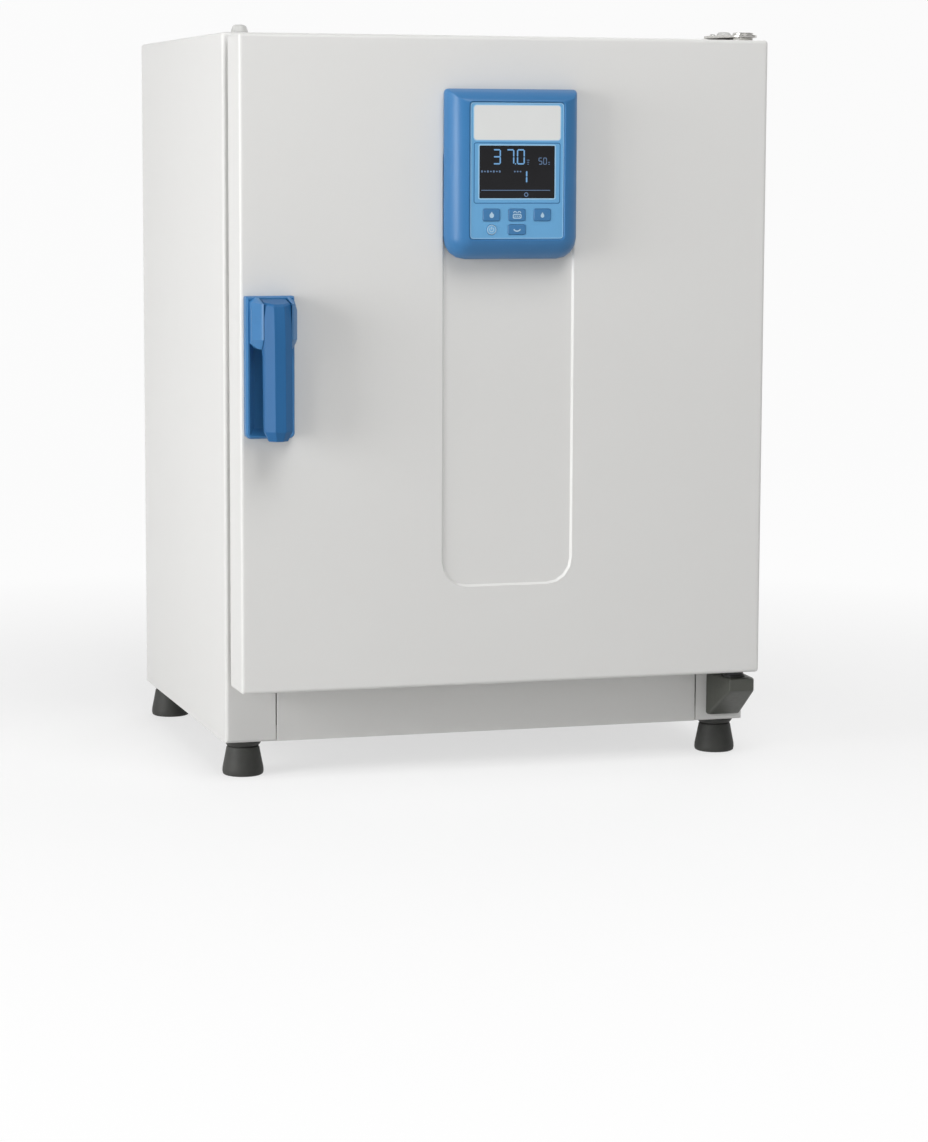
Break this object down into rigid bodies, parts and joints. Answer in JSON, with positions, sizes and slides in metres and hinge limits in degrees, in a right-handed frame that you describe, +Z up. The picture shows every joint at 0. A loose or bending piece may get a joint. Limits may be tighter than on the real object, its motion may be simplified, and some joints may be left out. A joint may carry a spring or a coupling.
{
  "type": "microbiological incubator",
  "caption": "Bench incubator: insulated heated chamber with shelves, inner glass door, pressed steel outer door with control unit and lever latch, on levelling feet.",
  "frame": {"origin": "Centre of the footprint box, at the floor: the undersides of the feet are z = 0.", "axes": "+X to the viewer's right when facing the door (hinge side), -Y out through the door, +Z up."},
  "size_m": [0.53, 0.532, 0.7155],
  "materials": {
    "painted_steel": "warm light grey powder coat",
    "galvanised_steel": "plain zinc-coated sheet",
    "stainless_steel": "smooth stainless sheet",
    "bright_steel": "bright plated",
    "dark_steel": "dark olive-grey paint",
    "blue_plastic": "satin blue moulding",
    "light_blue": "printed film, light blue",
    "key_blue": "embossed keys, mid blue",
    "black_glass": "glossy black window",
    "dark_plastic": "black moulding",
    "frame_plastic": "light grey moulding",
    "bearing_plastic": "natural acetal",
    "stud_plastic": "grey moulding",
    "foot_rubber": "dark grey-green rubber",
    "silicone": "soft grey silicone",
    "insulation_fibre": "pale mineral-fibre board",
    "heater_foil": "foil over a heating mat",
    "circuit_green": "solder-masked board",
    "clear_glass": "clear float glass"
  },
  "bodies": {
    "cabinet": {"outer_housing": "painted_steel", "lower_fascia": "painted_steel", "base_tray": "painted_steel", "rear_panel": "painted_steel", "compartment_deck": "galvanised_steel", "chamber_frame": "frame_plastic", "chamber_liner": "stainless_steel", "heater_wrap": "heater_foil", "insulation_jacket": "insulation_fibre", "shelf_rack_left": "stainless_steel", "shelf_rack_right": "stainless_steel", "shelf_lower": "stainless_steel", "shelf_upper": "stainless_steel", "temperature_probe": "stainless_steel", "vent_tube": "frame_plastic", "stacking_stud_front_left": "stud_plastic", "stacking_stud_front_right": "stud_plastic", "hinge_plate_upper": "bright_steel", "hinge_pin_upper": "bright_steel", "hinge_bracket_lower": "dark_plastic", "hinge_pin_lower": "dark_plastic", "strike_plate": "bright_steel", "glass_seal": "silicone", "glass_hinge_upper": "bright_steel", "glass_hinge_lower": "bright_steel", "mains_board": "circuit_green", "transformer": "dark_steel", "power_inlet": "dark_plastic", "wall_spacer_left": "dark_plastic", "wall_spacer_right": "dark_plastic"},
    "door": {"door_skin": "painted_steel", "door_liner": "painted_steel", "door_insulation": "insulation_fibre", "door_gasket": "silicone", "hinge_bush_upper": "bearing_plastic", "hinge_bush_lower": "bearing_plastic", "control_bezel": "blue_plastic", "control_panel": "light_blue", "display_window": "black_glass", "control_board": "circuit_green", "handle_base": "blue_plastic", "latch_bracket": "bright_steel"},
    "lever": {"handle_lever": "blue_plastic"},
    "hook": {"latch_hook": "bright_steel"},
    "glass_door": {"glass_pane": "clear_glass", "glass_fitting_upper": "bright_steel", "glass_fitting_lower": "bright_steel", "glass_knob": "bright_steel"},
    "key_left_cap": {"key_left": "key_blue"},
    "key_middle_cap": {"key_middle": "key_blue"},
    "key_right_cap": {"key_right": "key_blue"},
    "key_lower_cap": {"key_lower": "key_blue"},
    "key_standby_cap": {"key_standby": "key_blue"},
    "screw_foot_front_left": {"foot_front_left": "foot_rubber"},
    "screw_foot_front_right": {"foot_front_right": "foot_rubber"},
    "screw_foot_rear_left": {"foot_rear_left": "foot_rubber"},
    "screw_foot_rear_right": {"foot_rear_right": "foot_rubber"}
  },
  "joints": [
    {"name": "door_swing", "type": "hinge", "parent": "cabinet", "child": "door", "pos_m": [0.2435, -0.198, 0.4], "axis": [0, 0, 1], "range_deg": [0, 110]},
    {"name": "glass_door_swing", "type": "hinge", "parent": "cabinet", "child": "glass_door", "pos_m": [0.203, -0.1709, 0.394], "axis": [0, 0, 1], "range_deg": [0, 99]},
    {"name": "lever_pull", "type": "hinge", "parent": "door", "child": "lever", "pos_m": [-0.23295, -0.239, 0.441], "axis": [-1, 0, 0], "range_deg": [0, 20], "stiffness_Nm_per_rad": 1.2, "springref_deg": -8.59},
    {"name": "hook_lift", "type": "hinge", "parent": "door", "child": "hook", "pos_m": [-0.23295, -0.191, 0.435], "axis": [1, 0, 0], "range_deg": [0, 16.5]},
    {"name": "key_left_press", "type": "slide", "parent": "door", "child": "key_left_cap", "axis": [0, 1, 0], "range_m": [0, 0.0006], "stiffness_N_per_m": 600, "springref_m": -0.0005},
    {"name": "key_middle_press", "type": "slide", "parent": "door", "child": "key_middle_cap", "axis": [0, 1, 0], "range_m": [0, 0.0006], "stiffness_N_per_m": 600, "springref_m": -0.0005},
    {"name": "key_right_press", "type": "slide", "parent": "door", "child": "key_right_cap", "axis": [0, 1, 0], "range_m": [0, 0.0006], "stiffness_N_per_m": 600, "springref_m": -0.0005},
    {"name": "key_lower_press", "type": "slide", "parent": "door", "child": "key_lower_cap", "axis": [0, 1, 0], "range_m": [0, 0.0006], "stiffness_N_per_m": 600, "springref_m": -0.0005},
    {"name": "key_standby_press", "type": "slide", "parent": "door", "child": "key_standby_cap", "axis": [0, 1, 0], "range_m": [0, 0.0006], "stiffness_N_per_m": 600, "springref_m": -0.0005},
    {"name": "foot_front_left_turn", "type": "hinge", "parent": "cabinet", "child": "screw_foot_front_left", "pos_m": [-0.2435, -0.147, 0.017], "axis": [0, 0, 1], "continuous": true},
    {"name": "foot_front_right_turn", "type": "hinge", "parent": "cabinet", "child": "screw_foot_front_right", "pos_m": [0.2435, -0.147, 0.017], "axis": [0, 0, 1], "continuous": true},
    {"name": "foot_rear_left_turn", "type": "hinge", "parent": "cabinet", "child": "screw_foot_rear_left", "pos_m": [-0.2435, 0.201, 0.017], "axis": [0, 0, 1], "continuous": true},
    {"name": "foot_rear_right_turn", "type": "hinge", "parent": "cabinet", "child": "screw_foot_rear_right", "pos_m": [0.2435, 0.201, 0.017], "axis": [0, 0, 1], "continuous": true}
  ],
  "couplings": [
    {"joint": "hook_lift", "follows": "lever_pull", "ratio": 0.82},
    {"joint": "glass_door_swing", "follows": "door_swing", "ratio": 0.9}
  ]
}
